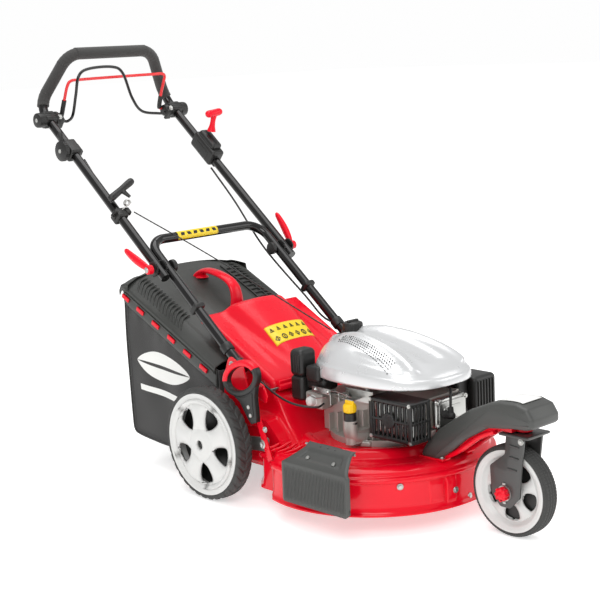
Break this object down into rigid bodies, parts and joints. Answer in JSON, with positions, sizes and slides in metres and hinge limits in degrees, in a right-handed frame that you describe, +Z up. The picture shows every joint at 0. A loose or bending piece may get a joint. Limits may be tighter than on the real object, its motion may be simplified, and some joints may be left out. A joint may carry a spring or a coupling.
{
  "type": "lawn mower",
  "caption": "Walk-behind rotary mower with round deck, engine, swivelling front wheel, rear wheels, fold-down handle with two bails, and a rear grass bag.",
  "frame": {"origin": "on the ground, under the middle of the whole machine", "axes": "+Z up; the mower drives towards -Y; the operator behind it has -X at the right hand"},
  "size_m": [0.5845, 1.5525, 1.1013],
  "materials": {
    "red_paint": "gloss",
    "black_paint": "gloss",
    "steel": "satin",
    "cast_aluminium": "cast",
    "silver_plastic": "silver",
    "white_plastic": "satin",
    "grey_plastic": "grained",
    "black_plastic": "satin",
    "red_plastic": "satin",
    "yellow_plastic": "satin",
    "tyre_rubber": "matte",
    "rubber": "matte",
    "foam": "matte",
    "fabric": "woven"
  },
  "bodies": {
    "chassis": {"deck": "red_paint", "engine_block": "cast_aluminium", "valve_cover": "steel", "muffler": "steel", "muffler_guard": "black_paint", "air_filter_box": "black_plastic", "carburettor": "cast_aluminium", "spark_plug": "rubber", "engine_cover": "silver_plastic", "fuel_tank": "black_plastic", "drive_belt": "rubber", "caster_cover": "grey_plastic", "caster_arm": "red_paint", "side_flap_pin": "steel", "rear_cover_pin": "steel", "lower_handle": "black_paint", "handle_bracket_right": "red_paint", "handle_bracket_left": "red_paint", "starter_rope": "fabric", "throttle_cable": "black_plastic", "drive_cable": "black_plastic"},
    "blade_spindle": {"crankshaft": "steel", "flywheel": "cast_aluminium", "drive_pulley": "steel", "blade_adapter": "cast_aluminium", "blade": "steel", "blade_bolt": "steel"},
    "fuel_cap": {"fuel_cap": "black_plastic"},
    "dipstick": {"oil_dipstick": "yellow_plastic"},
    "height_axle": {"rear_axle": "steel", "height_lever": "steel", "height_lever_grip": "black_plastic", "gearbox": "cast_aluminium"},
    "rear_wheel_right": {"rear_tyre_right": "tyre_rubber", "rear_rim_right": "white_plastic"},
    "rear_wheel_left": {"rear_tyre_left": "tyre_rubber", "rear_rim_left": "white_plastic"},
    "caster_swivel": {"caster_fork": "steel", "caster_axle": "steel"},
    "caster_wheel": {"caster_tyre": "tyre_rubber", "caster_rim": "white_plastic"},
    "side_flap": {"side_flap": "grey_plastic"},
    "rear_cover": {"rear_cover": "red_plastic"},
    "grass_bag": {"grass_bag": "fabric", "bag_lid": "grey_plastic", "bag_handle": "red_plastic"},
    "upper_handle": {"upper_handle": "black_paint", "foam_grip": "foam", "bail_bracket_right": "black_plastic", "bail_bracket_left": "black_plastic", "throttle_box": "black_plastic", "speed_box": "black_plastic", "rope_guide": "black_plastic"},
    "throttle_lever": {"throttle_lever": "black_plastic"},
    "speed_lever": {"speed_lever": "red_plastic"},
    "starter_grip": {"starter_grip": "black_plastic"},
    "stop_bail": {"stop_bail": "red_paint"},
    "drive_bail": {"drive_bail": "black_paint"},
    "cam_lever_right": {"cam_lever_right": "red_plastic"},
    "cam_lever_left": {"cam_lever_left": "red_plastic"}
  },
  "joints": [
    {"name": "blade_spin", "type": "hinge", "parent": "chassis", "child": "blade_spindle", "pos_m": [0, -0.255, 0.08], "axis": [0, 0, 1], "continuous": true},
    {"name": "fuel_cap_turn", "type": "hinge", "parent": "chassis", "child": "fuel_cap", "pos_m": [0.011, -0.177, 0.41], "axis": [0, 0, 1], "range_deg": [0, 90]},
    {"name": "dipstick_turn", "type": "hinge", "parent": "chassis", "child": "dipstick", "pos_m": [-0.145, -0.313, 0.26], "axis": [0, 0, 1], "range_deg": [0, 90]},
    {"name": "height_adjust", "type": "hinge", "parent": "chassis", "child": "height_axle", "pos_m": [0, -0.108, 0.16], "axis": [1, 0, 0], "range_deg": [-8, 8], "deforming": ["drive_belt", "drive_cable"]},
    {"name": "rear_wheel_right_spin", "type": "hinge", "parent": "height_axle", "child": "rear_wheel_right", "pos_m": [-0.261, 0.062, 0.13933], "axis": [1, 0, 0], "continuous": true},
    {"name": "rear_wheel_left_spin", "type": "hinge", "parent": "height_axle", "child": "rear_wheel_left", "pos_m": [0.261, 0.062, 0.13933], "axis": [1, 0, 0], "continuous": true},
    {"name": "caster_swivel", "type": "hinge", "parent": "chassis", "child": "caster_swivel", "pos_m": [0, -0.698, 0.26], "axis": [0, 0, 1], "continuous": true},
    {"name": "caster_wheel_spin", "type": "hinge", "parent": "caster_swivel", "child": "caster_wheel", "pos_m": [0, -0.668, 0.1035], "axis": [1, 0, 0], "continuous": true},
    {"name": "side_flap_hinge", "type": "hinge", "parent": "chassis", "child": "side_flap", "pos_m": [-0.244, -0.345, 0.193], "axis": [0, 1, 0], "range_deg": [0, 65], "stiffness_Nm_per_rad": 0.3, "springref_deg": -17.19},
    {"name": "rear_cover_hinge", "type": "hinge", "parent": "chassis", "child": "rear_cover", "pos_m": [0, -0.078, 0.274], "axis": [1, 0, 0], "range_deg": [0, 55], "stiffness_Nm_per_rad": 0.4, "springref_deg": -17.19, "deforming": ["starter_rope"]},
    {"name": "bag_lift_off", "type": "slide", "parent": "chassis", "child": "grass_bag", "axis": [0, 1, 0], "range_m": [0, 0.2]},
    {"name": "handle_fold", "type": "hinge", "parent": "chassis", "child": "upper_handle", "pos_m": [0, 0.28, 0.54407], "axis": [1, 0, 0], "range_deg": [0, 120], "deforming": ["starter_rope", "throttle_cable", "drive_cable"]},
    {"name": "throttle_turn", "type": "hinge", "parent": "upper_handle", "child": "throttle_lever", "pos_m": [-0.2333, 0.63, 0.83282], "axis": [1, 0, 0], "range_deg": [-30, 30]},
    {"name": "speed_turn", "type": "hinge", "parent": "upper_handle", "child": "speed_lever", "pos_m": [0.2155, 0.56436, 0.85127], "axis": [1, 0, 0], "range_deg": [-20, 20]},
    {"name": "starter_pull", "type": "slide", "parent": "upper_handle", "child": "starter_grip", "axis": [0.2993, 0.3492, 0.888], "range_m": [0, 0.35], "stiffness_N_per_m": 15, "springref_m": -0.2, "deforming": ["starter_rope"]},
    {"name": "stop_bail_hinge", "type": "hinge", "parent": "upper_handle", "child": "stop_bail", "pos_m": [0, 0.735, 0.919], "axis": [-1, 0, 0], "range_deg": [0, 12], "stiffness_Nm_per_rad": 0.4, "springref_deg": -22.92},
    {"name": "drive_bail_hinge", "type": "hinge", "parent": "upper_handle", "child": "drive_bail", "pos_m": [0, 0.719, 0.906], "axis": [-1, 0, 0], "range_deg": [0, 10], "stiffness_Nm_per_rad": 0.4, "springref_deg": -22.92},
    {"name": "cam_right_turn", "type": "hinge", "parent": "chassis", "child": "cam_lever_right", "pos_m": [-0.243, 0.28, 0.54407], "axis": [0, -0.4226, 0.9063], "range_deg": [0, 90]},
    {"name": "cam_left_turn", "type": "hinge", "parent": "chassis", "child": "cam_lever_left", "pos_m": [0.243, 0.28, 0.54407], "axis": [0, 0.809, -0.5878], "range_deg": [0, 90]}
  ]
}
